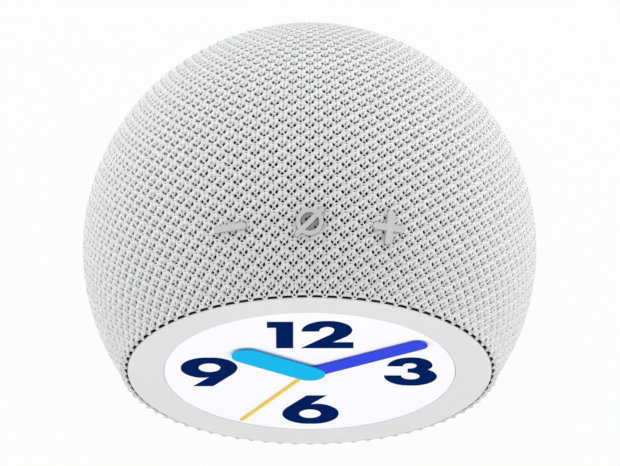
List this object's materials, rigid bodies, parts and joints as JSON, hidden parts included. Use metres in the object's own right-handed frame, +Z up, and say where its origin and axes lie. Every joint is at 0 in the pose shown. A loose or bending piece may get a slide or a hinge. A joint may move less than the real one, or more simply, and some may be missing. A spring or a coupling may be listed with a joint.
{
  "type": "talking clock",
  "caption": "Ball-shaped talking table clock in a knitted cover, with a leaning flat dial, plain hands, raised press buttons on top and a speaker and geared movement inside.",
  "frame": {"origin": "centre of the rubber foot's underside, straight below the centre of the ball", "axes": "+Z up from the table, -Y the way the dial faces (the dial itself leans back by 15 degrees), +X towards the 3 on the dial"},
  "size_m": [0.1, 0.0887, 0.0947],
  "materials": {
    "knit": "knitted",
    "case_black": "matte",
    "bezel_grey": "matte",
    "dial_white": "smooth",
    "print_navy": "printed",
    "hand_cyan": "satin paint",
    "hand_blue": "satin paint",
    "hand_yellow": "satin paint",
    "button_grey": "matte",
    "brass": "satin",
    "steel": "brushed",
    "copper": "enamelled wire",
    "board_green": "solder mask",
    "chip_black": "moulded",
    "rubber_grey": "matte",
    "cone_black": "paper",
    "ferrite": "ground",
    "lead_black": "sheathed"
  },
  "bodies": {
    "case": {"knit_cover": "knit", "front_housing": "case_black", "rear_housing": "case_black", "speaker_baffle": "case_black", "speaker_basket": "case_black", "power_inlet": "case_black", "cell_holder": "case_black", "bezel_ring": "bezel_grey", "rear_plate": "bezel_grey", "base_plate": "bezel_grey", "dial_plate": "dial_white", "dial_numerals": "print_navy", "movement_front_plate": "brass", "movement_back_plate": "brass", "movement_pillars": "steel", "pillar_screws": "steel", "plate_screws": "steel", "base_screws": "steel", "board_screws": "steel", "baffle_screws": "steel", "second_stator": "steel", "minute_stator": "steel", "inlet_pin": "steel", "inlet_nut": "steel", "backup_cell": "steel", "speaker_top_plate": "steel", "speaker_yoke": "steel", "second_coil": "copper", "minute_coil": "copper", "main_board": "board_green", "switch_boards": "board_green", "board_components": "chip_black", "tact_switches": "chip_black", "foot_pad": "rubber_grey", "speaker_surround": "rubber_grey", "speaker_magnet": "ferrite", "power_lead": "lead_black", "speaker_lead": "lead_black", "movement_lead": "lead_black", "switch_lead": "lead_black"},
    "second": {"second_hand": "hand_yellow", "second_wheel": "brass"},
    "second_idler": {"second_idler": "brass"},
    "second_rotor": {"second_rotor": "steel"},
    "minute": {"minute_hand": "hand_blue", "minute_wheel": "brass"},
    "minute_idler": {"minute_idler": "brass"},
    "minute_rotor": {"minute_rotor": "steel"},
    "motion": {"motion_wheel": "brass"},
    "hour": {"hour_hand": "hand_cyan", "hour_wheel": "brass"},
    "minus": {"minus_button": "button_grey", "minus_plunger": "chip_black"},
    "mute": {"mute_button": "button_grey", "mute_plunger": "chip_black"},
    "plus": {"plus_button": "button_grey", "plus_plunger": "chip_black"},
    "cone": {"speaker_cone": "cone_black", "voice_coil": "copper", "dust_cap": "cone_black"}
  },
  "joints": [
    {"name": "second_turn", "type": "hinge", "parent": "case", "child": "second", "pos_m": [0, -0.0284, 0.05161], "axis": [0, 0.9659, -0.2588], "continuous": true},
    {"name": "minute_turn", "type": "hinge", "parent": "case", "child": "minute", "pos_m": [0, -0.0284, 0.05161], "axis": [0, 0.9659, -0.2588], "continuous": true},
    {"name": "hour_turn", "type": "hinge", "parent": "case", "child": "hour", "pos_m": [0, -0.0284, 0.05161], "axis": [0, 0.9659, -0.2588], "continuous": true},
    {"name": "motion_turn", "type": "hinge", "parent": "case", "child": "motion", "pos_m": [0, -0.02529, 0.0632], "axis": [0, 0.9659, -0.2588], "continuous": true},
    {"name": "second_idler_turn", "type": "hinge", "parent": "case", "child": "second_idler", "pos_m": [-0.0108, -0.0284, 0.05161], "axis": [0, 0.9659, -0.2588], "continuous": true},
    {"name": "minute_idler_turn", "type": "hinge", "parent": "case", "child": "minute_idler", "pos_m": [0.0108, -0.0284, 0.05161], "axis": [0, 0.9659, -0.2588], "continuous": true},
    {"name": "second_rotor_turn", "type": "hinge", "parent": "case", "child": "second_rotor", "pos_m": [-0.01674, -0.02994, 0.04587], "axis": [0, 0.9659, -0.2588], "continuous": true},
    {"name": "minute_rotor_turn", "type": "hinge", "parent": "case", "child": "minute_rotor", "pos_m": [0.01674, -0.02994, 0.04587], "axis": [0, 0.9659, -0.2588], "continuous": true},
    {"name": "minus_press", "type": "slide", "parent": "case", "child": "minus", "axis": [0.3458, 0.0517, -0.9369], "range_m": [0, 0.0006], "stiffness_N_per_m": 2000},
    {"name": "mute_press", "type": "slide", "parent": "case", "child": "mute", "axis": [0, 0.0349, -0.9994], "range_m": [0, 0.0006], "stiffness_N_per_m": 2000},
    {"name": "plus_press", "type": "slide", "parent": "case", "child": "plus", "axis": [-0.3458, 0.0517, -0.9369], "range_m": [0, 0.0006], "stiffness_N_per_m": 2000},
    {"name": "cone_stroke", "type": "slide", "parent": "case", "child": "cone", "axis": [0, 0.9659, -0.2588], "range_m": [-0.001, 0.001], "stiffness_N_per_m": 1500, "deforming": ["speaker_surround"]}
  ],
  "couplings": [
    {"joint": "hour_turn", "follows": "minute_turn", "ratio": 0.083333},
    {"joint": "motion_turn", "follows": "minute_turn", "ratio": -0.33333},
    {"joint": "minute_idler_turn", "follows": "minute_turn", "ratio": -5},
    {"joint": "minute_rotor_turn", "follows": "minute_turn", "ratio": 30},
    {"joint": "second_idler_turn", "follows": "second_turn", "ratio": -5},
    {"joint": "second_rotor_turn", "follows": "second_turn", "ratio": 30}
  ]
}
